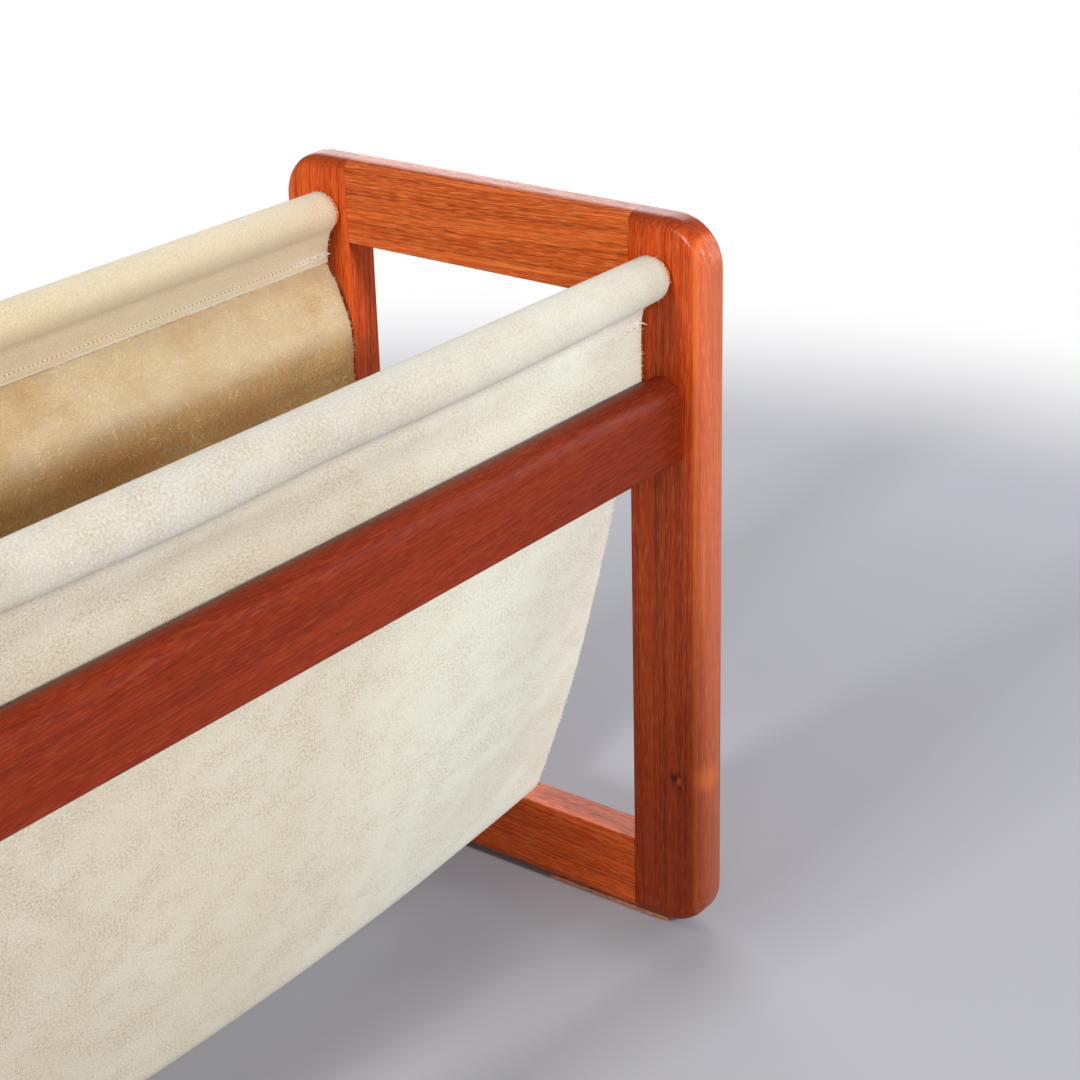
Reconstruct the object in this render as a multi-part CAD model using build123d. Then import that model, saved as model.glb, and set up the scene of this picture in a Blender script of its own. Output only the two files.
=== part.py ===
from build123d import *
import os
from math import atan2, ceil, cos, degrees, hypot, radians, sin, sqrt

# A magazine rack: two rounded end frames held apart by two side rails, and a suede sling on two rods.
# X runs along the rack, -Y is its front and +Z is up. The origin is on the floor under the middle.

# End frames: posts and rails cut from one board
INNER_LENGTH = 424.0
FRAME_DEPTH = 248.0
FRAME_HEIGHT = 360.0
FRAME_THICKNESS = 18.5
MEMBER_WIDTH = 41.0
CORNER_RADIUS = 23.0
EDGE_ROUND = 6.0
OPENING_EASE = 0.8

# Glides: leather strips under the four corners
GLIDE_LENGTH = 73.0
GLIDE_WIDTH = 13.5
GLIDE_THICKNESS = 2.0
GLIDE_EASE = 0.5

# Side rails: round on top, eased below
SIDE_RAIL_HEIGHT = 40.0
SIDE_RAIL_THICKNESS = 19.0
SIDE_RAIL_INSET = 13.0
SIDE_RAIL_LIFT = 247.0
SIDE_RAIL_EASE = 3.0

# Rods: loose in blind sockets, so that they turn
ROD_DIAMETER = 17.5
ROD_INSET = 27.0
ROD_END_CHAMFER = 0.8
SOCKET_DEPTH = 8.0
SOCKET_CLEARANCE = 0.05
SOCKET_END_GAP = 0.4

# Dowels: glued pins across the frame joints and the side rail joints
DOWEL_GLUE_LINE = 0.1
DOWEL_END_GAP = 1.0
DOWEL_CHAMFER = 0.8
FRAME_DOWEL_DIAMETER = 6.0
FRAME_DOWEL_LENGTH = 32.0
FRAME_DOWEL_SPACING = 18.0
FRAME_DOWEL_SETBACK = 12.75
RAIL_DOWEL_DIAMETER = 8.0
RAIL_DOWEL_IN_POST = 11.0
RAIL_DOWEL_IN_RAIL = 23.0
RAIL_DOWEL_SPACING = 16.0
RAIL_DOWEL_LIFT = 19.0

# Sling: one suede sheet, hemmed round both rods, that hangs between them as a rounded V
SUEDE = 1.4
SLING_END_GAP = 2.5
HEM_CLEARANCE = 0.3
HEM_LAYER_GAP = 0.15
NECK_LEAN = 7.8
NECK_OFFSET = 3.6
NECK_FRONT_RADIUS = 12.0
NECK_POCKET_RADIUS = 6.0
SEAM_DROP = 21.5
FLAP_DROP = 25.5
BELLY_RADIUS = 29.0
BELLY_LIFT_AT_ENDS = 42.0
BELLY_LIFT_IN_MIDDLE = 28.5
LARGEST_ARC = 120.0
SHORTEST_RUN = 0.15

# Seam thread along each hem
THREAD_DIAMETER = 0.7
THREAD_GAP = 0.05
THREAD_END_GAP = 3.0

# Places that follow from the sizes above
HALF_LENGTH = INNER_LENGTH / 2
HALF_DEPTH = FRAME_DEPTH / 2
FRAME_BOTTOM = GLIDE_THICKNESS
FRAME_TOP = FRAME_BOTTOM + FRAME_HEIGHT
FRAME_MIDDLE = FRAME_BOTTOM + FRAME_HEIGHT / 2
OPENING_DEPTH = FRAME_DEPTH - 2 * MEMBER_WIDTH
OPENING_HEIGHT = FRAME_HEIGHT - 2 * MEMBER_WIDTH
POST_MIDDLE = HALF_DEPTH - MEMBER_WIDTH / 2
TOP_RAIL_MIDDLE = FRAME_TOP - MEMBER_WIDTH / 2
BOTTOM_RAIL_MIDDLE = FRAME_BOTTOM + MEMBER_WIDTH / 2
ROD_RADIUS = ROD_DIAMETER / 2
ROD_Y = -(HALF_DEPTH - ROD_INSET)
ROD_Z = FRAME_TOP - ROD_INSET
SIDE_RAIL_Y = -(HALF_DEPTH - SIDE_RAIL_INSET - SIDE_RAIL_THICKNESS / 2)
SIDE_RAIL_BOTTOM = FRAME_BOTTOM + SIDE_RAIL_LIFT
RAIL_DOWEL_LENGTH = RAIL_DOWEL_IN_POST + RAIL_DOWEL_IN_RAIL
RAIL_DOWEL_Z = SIDE_RAIL_BOTTOM + RAIL_DOWEL_LIFT
SLING_LENGTH = INNER_LENGTH - 2 * SLING_END_GAP
CUTTER = 2 * (INNER_LENGTH + FRAME_HEIGHT)

SIDES = {"front": False, "back": True}
ENDS = {"right": False, "left": True}


def placed(shape, end="right", side="front"):
    """The front right piece, mirrored to the named end and side."""
    if ENDS[end]:
        shape = mirror(shape, about=Plane.YZ)
    if SIDES[side]:
        shape = mirror(shape, about=Plane.XZ)
    return shape


def pin(diameter, length, axis, chamfer_size):
    """A round pin on the origin along the axis, with chamfered ends."""
    plane = Plane(origin=(0, 0, 0), z_dir=axis)
    solid = plane * Cylinder(diameter / 2, length)
    return chamfer(solid.edges().filter_by(GeomType.CIRCLE), chamfer_size)


def hole(diameter, depth, axis):
    """A cylinder on the origin along the axis, that cuts a hole to the given depth either way."""
    return Plane(origin=(0, 0, 0), z_dir=axis) * Cylinder(diameter / 2, 2 * depth)


# Where the dowels of the right end and the front sit
def frame_dowel_places(rail_middle):
    """The two dowels between a frame rail and its front post."""
    x = HALF_LENGTH + FRAME_DOWEL_SETBACK
    offsets = (-FRAME_DOWEL_SPACING / 2, FRAME_DOWEL_SPACING / 2)
    return [Pos(x, -OPENING_DEPTH / 2, rail_middle + offset) for offset in offsets]


def rail_dowel_places():
    """The two dowels between the front side rail and the front right post, on the joint face."""
    offsets = (-RAIL_DOWEL_SPACING / 2, RAIL_DOWEL_SPACING / 2)
    return [Pos(HALF_LENGTH, SIDE_RAIL_Y, RAIL_DOWEL_Z + offset) for offset in offsets]


def frame_dowel_holes(rail_middle):
    """The holes for the frame dowels, in the post and the rail alike."""
    depth = FRAME_DOWEL_LENGTH / 2 + DOWEL_END_GAP
    cutter = hole(FRAME_DOWEL_DIAMETER + 2 * DOWEL_GLUE_LINE, depth, (0, 1, 0))
    return [place * cutter for place in frame_dowel_places(rail_middle)]


def rail_dowel_holes(depth):
    """The holes for the side rail dowels, to the given depth from the joint face."""
    cutter = hole(RAIL_DOWEL_DIAMETER + 2 * DOWEL_GLUE_LINE, depth + DOWEL_END_GAP, (1, 0, 0))
    return [place * cutter for place in rail_dowel_places()]


def end_frame_blank():
    """The right end frame in one piece: a rounded slab with a square opening."""
    plane = Plane(origin=(HALF_LENGTH, 0, FRAME_MIDDLE), x_dir=(0, 1, 0), z_dir=(1, 0, 0))
    slab = extrude(plane * RectangleRounded(FRAME_DEPTH, FRAME_HEIGHT, CORNER_RADIUS), FRAME_THICKNESS)
    rims = [edge for face in slab.faces().filter_by(Axis.X) for edge in face.edges()]
    slab = fillet(rims, EDGE_ROUND)
    slab -= extrude(plane * Rectangle(OPENING_DEPTH, OPENING_HEIGHT), FRAME_THICKNESS)
    opening = [
        edge
        for face in slab.faces().filter_by(Axis.X)
        for wire in face.inner_wires()
        for edge in wire.edges()
    ]
    return fillet(opening, OPENING_EASE)


def post(blank):
    """The front right post, with its rod socket and dowel holes."""
    solid = blank & Pos(0, -POST_MIDDLE, 0) * Box(CUTTER, MEMBER_WIDTH, CUTTER)
    socket = hole(ROD_DIAMETER + 2 * SOCKET_CLEARANCE, SOCKET_DEPTH, (1, 0, 0))
    solid -= Pos(HALF_LENGTH, ROD_Y, ROD_Z) * socket
    for cutter in frame_dowel_holes(TOP_RAIL_MIDDLE) + frame_dowel_holes(BOTTOM_RAIL_MIDDLE):
        solid -= cutter
    for cutter in rail_dowel_holes(RAIL_DOWEL_IN_POST):
        solid -= cutter
    return solid


def frame_rail(blank, rail_middle):
    """The right end frame's rail at the given height, butted between the posts."""
    solid = blank & Pos(0, 0, rail_middle) * Box(CUTTER, OPENING_DEPTH, MEMBER_WIDTH)
    for cutter in frame_dowel_holes(rail_middle):
        solid -= cutter
        solid -= placed(cutter, side="back")
    return solid


def frame_dowels(rail_middle):
    """The four dowels of one rail of the right end frame."""
    dowel = pin(FRAME_DOWEL_DIAMETER, FRAME_DOWEL_LENGTH, (0, 1, 0), DOWEL_CHAMFER)
    front = [place * dowel for place in frame_dowel_places(rail_middle)]
    return front + [placed(piece, side="back") for piece in front]


def side_rail():
    """The front side rail: a bar with a half-round top."""
    radius = SIDE_RAIL_THICKNESS / 2
    plane = Plane(origin=(-HALF_LENGTH, SIDE_RAIL_Y, SIDE_RAIL_BOTTOM), x_dir=(0, 1, 0), z_dir=(1, 0, 0))
    straight = SIDE_RAIL_HEIGHT - radius
    section = Pos(0, straight / 2) * Rectangle(SIDE_RAIL_THICKNESS, straight)
    section += Pos(0, straight) * Circle(radius)
    low_corners = section.vertices().sort_by(Axis.Y)[:2]
    section = fillet(low_corners, SIDE_RAIL_EASE)
    solid = extrude(plane * section, INNER_LENGTH)
    for cutter in rail_dowel_holes(RAIL_DOWEL_IN_RAIL):
        solid -= cutter
        solid -= placed(cutter, end="left")
    return solid


def side_rail_dowels():
    """The four dowels of the front side rail."""
    dowel = pin(RAIL_DOWEL_DIAMETER, RAIL_DOWEL_LENGTH, (1, 0, 0), DOWEL_CHAMFER)
    shift = Pos((RAIL_DOWEL_IN_POST - RAIL_DOWEL_IN_RAIL) / 2, 0, 0)
    right = [place * shift * dowel for place in rail_dowel_places()]
    return right + [placed(piece, end="left") for piece in right]


def rod():
    """The front rod, from socket to socket."""
    length = INNER_LENGTH + 2 * (SOCKET_DEPTH - SOCKET_END_GAP)
    return Pos(0, ROD_Y, ROD_Z) * pin(ROD_DIAMETER, length, (1, 0, 0), ROD_END_CHAMFER)


def glide():
    """The glide under the front right corner."""
    x = HALF_LENGTH + FRAME_THICKNESS / 2
    y = -(HALF_DEPTH - CORNER_RADIUS - GLIDE_LENGTH / 2)
    strip = Pos(x, y, GLIDE_THICKNESS / 2) * Box(GLIDE_WIDTH, GLIDE_LENGTH, GLIDE_THICKNESS)
    return fillet(strip.edges().filter_by(Axis.Z), GLIDE_EASE)


class Bend:
    """A stretch of the sheet's middle line: an arc about a centre, from one angle to another in degrees."""

    def __init__(self, centre, radius, start, sweep):
        self.centre = centre
        self.radius = radius
        self.start = start
        self.sweep = sweep

    def parts(self):
        """The same bend in equal parts, none of which is longer than the largest arc."""
        count = ceil(abs(self.sweep) / LARGEST_ARC)
        step = self.sweep / count
        return [Bend(self.centre, self.radius, self.start + n * step, step) for n in range(count)]

    def edge_points(self, left):
        """Start, middle and end of the bend, moved to its left by the given distance."""
        radius = self.radius - left if self.sweep > 0 else self.radius + left
        angles = [radians(self.start + share * self.sweep) for share in (0, 0.5, 1)]
        return [(self.centre[0] + radius * cos(a), self.centre[1] + radius * sin(a)) for a in angles]


def direction(from_point, to_point):
    """The angle of the line between two points, in degrees."""
    return degrees(atan2(to_point[1] - from_point[1], to_point[0] - from_point[0]))


def neck_point(drop, towards_pocket):
    """A point below the front rod along the neck, and to the pocket side of its two layers' joint."""
    lean = radians(NECK_LEAN)
    across = NECK_OFFSET + towards_pocket
    y = ROD_Y + across * cos(lean) + drop * sin(lean)
    z = ROD_Z + across * sin(lean) - drop * cos(lean)
    return (y, z)


def front_bends(belly_lift):
    """The bends of the front half, from the raw edge round the rod and down to the middle of the belly."""
    loop_radius = ROD_RADIUS + HEM_CLEARANCE + SUEDE / 2
    layer = (SUEDE + HEM_LAYER_GAP) / 2
    rod_centre = (ROD_Y, ROD_Z)

    pocket_across = layer + NECK_POCKET_RADIUS
    pocket_drop = sqrt((NECK_POCKET_RADIUS + loop_radius) ** 2 - (pocket_across + NECK_OFFSET) ** 2)
    pocket_centre = neck_point(pocket_drop, pocket_across)
    front_across = layer + NECK_FRONT_RADIUS
    front_drop = sqrt((NECK_FRONT_RADIUS + loop_radius) ** 2 - (front_across - NECK_OFFSET) ** 2)
    front_centre = neck_point(front_drop, -front_across)

    loop_start = direction(rod_centre, pocket_centre)
    loop_end = direction(rod_centre, front_centre) + 360
    pocket_turn = 180 + NECK_LEAN
    front_turn = loop_end - 180

    sheet_neck = neck_point(FLAP_DROP, -layer)
    belly_radius = BELLY_RADIUS - SUEDE / 2
    belly_centre = (0, belly_lift + BELLY_RADIUS)
    lean = radians(NECK_LEAN)
    reach = (sheet_neck[0] - belly_centre[0], sheet_neck[1] - belly_centre[1])
    slack = reach[0] * cos(lean) + reach[1] * sin(lean) + belly_radius
    flank_radius = (belly_radius**2 - hypot(*reach) ** 2) / (2 * slack)
    flank_centre = (
        sheet_neck[0] + flank_radius * cos(lean),
        sheet_neck[1] + flank_radius * sin(lean),
    )
    flank_end = direction(flank_centre, belly_centre) % 360

    return [
        Bend(pocket_centre, NECK_POCKET_RADIUS, pocket_turn, loop_start + 180 - pocket_turn),
        *Bend(rod_centre, loop_radius, loop_start, loop_end - loop_start).parts(),
        Bend(front_centre, NECK_FRONT_RADIUS, front_turn, NECK_LEAN - front_turn),
        Bend(flank_centre, flank_radius, 180 + NECK_LEAN, flank_end - 180 - NECK_LEAN),
        Bend(belly_centre, belly_radius, flank_end, 270 - flank_end),
    ]


def sheet_face(belly_lift, left):
    """The points along one face of the sheet, from the front raw edge to the back one, stretch by stretch."""
    layer = (SUEDE + HEM_LAYER_GAP) / 2
    raw_edge = neck_point(FLAP_DROP, layer - left)
    stretches = []
    last = raw_edge
    for bend in front_bends(belly_lift):
        points = bend.edge_points(left)
        if hypot(points[0][0] - last[0], points[0][1] - last[1]) > SHORTEST_RUN:
            stretches.append([last, points[0]])
        stretches.append(points)
        last = points[-1]
    back = [[(-y, z) for y, z in reversed(points)] for points in reversed(stretches)]
    return stretches + back


def sling_section(x, belly_lift):
    """The sheet's closed outline across the rack at x."""
    pocket_face = sheet_face(belly_lift, SUEDE / 2)
    outer_face = [list(reversed(points)) for points in reversed(sheet_face(belly_lift, -SUEDE / 2))]
    front_edge = [[outer_face[-1][-1], pocket_face[0][0]]]
    back_edge = [[pocket_face[-1][-1], outer_face[0][0]]]
    edges = []
    for points in pocket_face + back_edge + outer_face + front_edge:
        spots = [Vector(x, y, z) for y, z in points]
        edges.append(Edge.make_three_point_arc(*spots) if len(spots) == 3 else Edge.make_line(*spots))
    return Face(Wire(edges))


def sling():
    """The suede sheet, with a belly that hangs lower in the middle than at its cut ends."""
    half = SLING_LENGTH / 2
    sections = [
        sling_section(-half, BELLY_LIFT_AT_ENDS),
        sling_section(0, BELLY_LIFT_IN_MIDDLE),
        sling_section(half, BELLY_LIFT_AT_ENDS),
    ]
    return loft(sections)


def hem_thread():
    """The seam thread of the front hem, on both faces of the sewn layers."""
    face = SUEDE + HEM_LAYER_GAP / 2 + THREAD_DIAMETER / 2 + THREAD_GAP
    length = SLING_LENGTH - 2 * THREAD_END_GAP
    thread = Plane(origin=(0, 0, 0), z_dir=(1, 0, 0)) * Cylinder(THREAD_DIAMETER / 2, length)
    places = [neck_point(SEAM_DROP, side * face) for side in (-1, 1)]
    return [Pos(0, y, z) * thread for y, z in places]


def write(name, pieces):
    """Write one node's solids to its own file."""
    shape = Compound(children=pieces) if isinstance(pieces, list) else pieces
    export_step(shape, f"parts/{name}.step")


def main():
    """Make every piece and write it."""
    os.makedirs("parts", exist_ok=True)
    blank = end_frame_blank()
    right_post = post(blank)
    frame_rails = {
        "top": (frame_rail(blank, TOP_RAIL_MIDDLE), frame_dowels(TOP_RAIL_MIDDLE)),
        "bottom": (frame_rail(blank, BOTTOM_RAIL_MIDDLE), frame_dowels(BOTTOM_RAIL_MIDDLE)),
    }
    for end in ENDS:
        for side in SIDES:
            write(f"post_{side}_{end}", placed(right_post, end, side))
            write(f"glide_{side}_{end}", placed(glide(), end, side))
        for level, (rail, dowels) in frame_rails.items():
            write(f"{level}_rail_{end}", placed(rail, end))
            write(f"{level}_rail_dowels_{end}", [placed(dowel, end) for dowel in dowels])
    for side in SIDES:
        write(f"side_rail_{side}", placed(side_rail(), side=side))
        write(f"side_rail_dowels_{side}", [placed(dowel, side=side) for dowel in side_rail_dowels()])
        write(f"rod_{side}", placed(rod(), side=side))
        write(f"hem_thread_{side}", [placed(thread, side=side) for thread in hem_thread()])
    write("sling", sling())


if __name__ == "__main__":
    main()
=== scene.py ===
"""Looks of a magazine rack: two teak end frames, two side rails, and a suede sling on two rods."""

import logging
import math
import random
from bisect import bisect_left
from collections.abc import Iterator
from dataclasses import dataclass, field, replace
from enum import Enum
from typing import Any

import bmesh
import bpy
from mathutils import Matrix, Vector, noise


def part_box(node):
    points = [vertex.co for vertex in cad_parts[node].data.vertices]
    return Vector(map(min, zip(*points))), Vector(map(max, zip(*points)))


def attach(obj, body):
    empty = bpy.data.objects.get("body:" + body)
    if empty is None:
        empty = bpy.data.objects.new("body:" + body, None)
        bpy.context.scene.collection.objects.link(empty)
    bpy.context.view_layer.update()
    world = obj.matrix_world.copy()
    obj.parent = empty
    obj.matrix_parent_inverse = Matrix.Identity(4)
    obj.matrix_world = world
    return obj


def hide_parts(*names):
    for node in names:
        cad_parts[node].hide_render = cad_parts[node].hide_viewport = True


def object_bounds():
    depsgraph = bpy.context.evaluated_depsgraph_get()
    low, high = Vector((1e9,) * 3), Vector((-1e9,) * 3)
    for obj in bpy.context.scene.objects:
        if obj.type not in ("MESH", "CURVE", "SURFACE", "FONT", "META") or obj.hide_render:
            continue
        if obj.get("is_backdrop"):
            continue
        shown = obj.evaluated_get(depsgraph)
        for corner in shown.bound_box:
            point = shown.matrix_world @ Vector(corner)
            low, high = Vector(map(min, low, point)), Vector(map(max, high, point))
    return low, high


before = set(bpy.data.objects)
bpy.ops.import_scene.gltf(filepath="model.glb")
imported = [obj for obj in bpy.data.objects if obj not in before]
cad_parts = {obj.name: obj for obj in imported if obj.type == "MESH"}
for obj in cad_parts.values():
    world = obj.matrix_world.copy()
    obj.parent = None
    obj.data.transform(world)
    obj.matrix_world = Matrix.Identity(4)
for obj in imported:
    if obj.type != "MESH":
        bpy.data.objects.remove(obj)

CAD_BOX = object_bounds()
RACK = "rack"
NOISE_MIDDLE = 0.5
LOG = logging.getLogger("magazine_rack")

Pair = tuple[float, float]
Triple = tuple[float, float, float]
Colour = tuple[float, float, float, float]
Material = bpy.types.Material
Node = bpy.types.Node
Piece = bpy.types.Object
Socket = bpy.types.NodeSocket
Mesh = bmesh.types.BMesh
Point = bmesh.types.BMVert
Line = bmesh.types.BMEdge


def paint(red: int, green: int, blue: int) -> Colour:
    """A colour as the shader takes it.

    Args:
        red: Red on a screen, 0 to 255.
        green: Green on a screen, 0 to 255.
        blue: Blue on a screen, 0 to 255.

    Returns:
        The linear colour, with full alpha.
    """
    shares = [level / 255 for level in (red, green, blue)]
    linear = [s / 12.92 if s <= 0.04045 else ((s + 0.055) / 1.055) ** 2.4 for s in shares]
    return (linear[0], linear[1], linear[2], 1.0)


def smooth_share(value: float, low: float, high: float) -> float:
    """How far a value is from low to high, as a share from 0 to 1 that is eased at both ends."""
    share = min(max((value - low) / (high - low), 0.0), 1.0)
    return share * share * (3 - 2 * share)


class NamedPlace(Enum):
    """A choice of place whose name is a part of the nodes' names."""

    @property
    def word(self) -> str:
        """The place's name in the nodes."""
        return self.name.lower()


class Side(NamedPlace):
    """The two long sides of the rack, with the sign of their Y."""

    FRONT = -1
    BACK = 1


class End(NamedPlace):
    """The two ends of the rack, with the sign of their X."""

    RIGHT = 1
    LEFT = -1


class Grain(Enum):
    """Which way the grain of a board runs."""

    ALONG_X = "x"
    ALONG_Y = "y"
    ALONG_Z = "z"

    def turn(self, tilt: float) -> Triple:
        """The turn that lays the grain along X.

        Args:
            tilt: How far the grain is off the board's own length, in radians.

        Returns:
            The turn's three angles.
        """
        turns = {
            Grain.ALONG_X: (0.0, tilt, 0.0),
            Grain.ALONG_Y: (tilt, 0.0, -math.pi / 2),
            Grain.ALONG_Z: (tilt, math.pi / 2, 0.0),
        }
        return turns[self]


class Graph:
    """A node tree that is being wired."""

    mix_share = 0
    mix_first = 6
    mix_second = 7
    mix_result = 2

    def __init__(self, tree: bpy.types.NodeTree) -> None:
        """Keep the tree to wire."""
        self.tree = tree

    def add(self, kind: str, inputs: dict[Any, Any] | None = None, **settings: Any) -> Node:
        """Add one node.

        Args:
            kind: The node's type.
            inputs: Values or other nodes' outputs, by the input's name or number.
            settings: The node's own properties.

        Returns:
            The new node.
        """
        node = self.tree.nodes.new(kind)
        for name, value in settings.items():
            setattr(node, name, value)
        for key, value in (inputs or {}).items():
            if isinstance(value, Socket):
                self.tree.links.new(value, node.inputs[key])
            else:
                node.inputs[key].default_value = value
        return node

    def sum_up(self, operation: str, *values: Any) -> Socket:
        """The result of a Math node on the values."""
        return self.add("ShaderNodeMath", dict(enumerate(values)), operation=operation).outputs[0]

    def vector(self, operation: str, *values: Any) -> Socket:
        """The result of a Vector Math node on the values."""
        return self.add("ShaderNodeVectorMath", dict(enumerate(values)), operation=operation).outputs[0]

    def noise(self, place: Socket, waves: Triple, layers: float, harshness: float = 0.5) -> Node:
        """Noise over a place.

        Args:
            place: The place to read, in metres.
            waves: Waves per metre along X, Y and Z.
            layers: How many finer layers the noise has.
            harshness: How strong the finer layers are.

        Returns:
            The noise node.
        """
        scaled = self.vector("MULTIPLY", place, waves)
        inputs = {"Vector": scaled, "Scale": 1.0, "Detail": layers, "Roughness": harshness}
        return self.add("ShaderNodeTexNoise", inputs)

    def sway(self, place: Socket, waves: Triple, layers: float, reach: Triple) -> Socket:
        """A place that noise moves about.

        Args:
            place: The place to move, in metres.
            waves: The noise's waves per metre along X, Y and Z.
            layers: How many finer layers the noise has.
            reach: How far the noise moves the place along X, Y and Z.

        Returns:
            The moved place.
        """
        shift = self.noise(place, waves, layers).outputs["Color"]
        shift = self.vector("SUBTRACT", shift, (NOISE_MIDDLE, NOISE_MIDDLE, NOISE_MIDDLE))
        return self.vector("ADD", place, self.vector("MULTIPLY", shift, reach))

    def distance(self, place: Socket, middle: Any = (0.0, 0.0, 0.0)) -> Socket:
        """How far a place is from a middle."""
        return self.add("ShaderNodeVectorMath", {0: place, 1: middle}, operation="DISTANCE").outputs["Value"]

    def step(self, value: Socket, low: float, high: float, top: float = 1.0) -> Socket:
        """A value eased from 0 at low to top at high."""
        inputs = {"Value": value, "From Min": low, "From Max": high, "To Min": 0.0, "To Max": top}
        return self.add("ShaderNodeMapRange", inputs, interpolation_type="SMOOTHSTEP").outputs[0]

    def blend(self, share: Any, first: Any, second: Any) -> Socket:
        """A mix of two colours, by the share of the second one."""
        inputs = {self.mix_share: share, self.mix_first: first, self.mix_second: second}
        return self.add("ShaderNodeMix", inputs, data_type="RGBA").outputs[self.mix_result]

    def place_group(self, group: bpy.types.NodeTree, inputs: dict[str, Any]) -> Node:
        """Place a shared group with its own values or links, by the inputs' names."""
        return self.add("ShaderNodeGroup", inputs, node_tree=group)

    def surface(self, shader: Node, colour: Socket, height: Socket, relief: float, strength: float) -> None:
        """Give a shader the colour and the relief that change over its surface.

        Args:
            shader: The shader.
            colour: The colour.
            height: The height of the relief, as a share.
            relief: The height at a share of 1, in metres.
            strength: How strongly the relief turns the surface.
        """
        inputs = {"Strength": strength, "Distance": relief, "Height": height}
        bump = self.add("ShaderNodeBump", inputs).outputs["Normal"]
        self.tree.links.new(colour, shader.inputs["Base Color"])
        self.tree.links.new(bump, shader.inputs["Normal"])


def set_plain(shader: Node, values: dict[str, Any]) -> None:
    """Set the shader's inputs that are the same all over the surface."""
    for name, value in values.items():
        shader.inputs[name].default_value = value


@dataclass(frozen=True)
class NoiseMask:
    """A mask cut from noise: its waves per metre, its finer layers, and where it begins and is full."""

    waves: Triple
    layers: float
    begins: float
    full: float
    top: float = 1.0
    harshness: float = 0.5

    def over(self, graph: Graph, place: Socket) -> Socket:
        """The mask over a place."""
        value = graph.noise(place, self.waves, self.layers, self.harshness).outputs[0]
        return graph.step(value, self.begins, self.full, self.top)


class SharedGroup:
    """A node group that several finishes place, made at its first use."""

    name: str = ""
    inputs: dict[str, str] = {}
    outputs: dict[str, str] = {}

    @classmethod
    def get(cls) -> bpy.types.NodeTree:
        """The group, built once."""
        known = bpy.data.node_groups.get(cls.name)
        return known if known else cls.build()

    @classmethod
    def build(cls) -> bpy.types.NodeTree:
        """Make the group, its sockets and its nodes.

        Returns:
            The new group.
        """
        tree = bpy.data.node_groups.new(cls.name, "ShaderNodeTree")
        for socket, kind in cls.inputs.items():
            tree.interface.new_socket(socket, in_out="INPUT", socket_type=kind)
        for socket, kind in cls.outputs.items():
            tree.interface.new_socket(socket, in_out="OUTPUT", socket_type=kind)
        graph = Graph(tree)
        entry = graph.add("NodeGroupInput")
        results = cls.wire(graph, entry)
        graph.add("NodeGroupOutput", dict(results))
        return tree

    @classmethod
    def wire(cls, graph: Graph, entry: Node) -> dict[str, Socket]:
        """Wire the group's nodes from its inputs to its outputs.

        Args:
            graph: The group's tree.
            entry: The group's input node.

        Returns:
            The outputs, by name.
        """
        raise NotImplementedError


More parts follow.
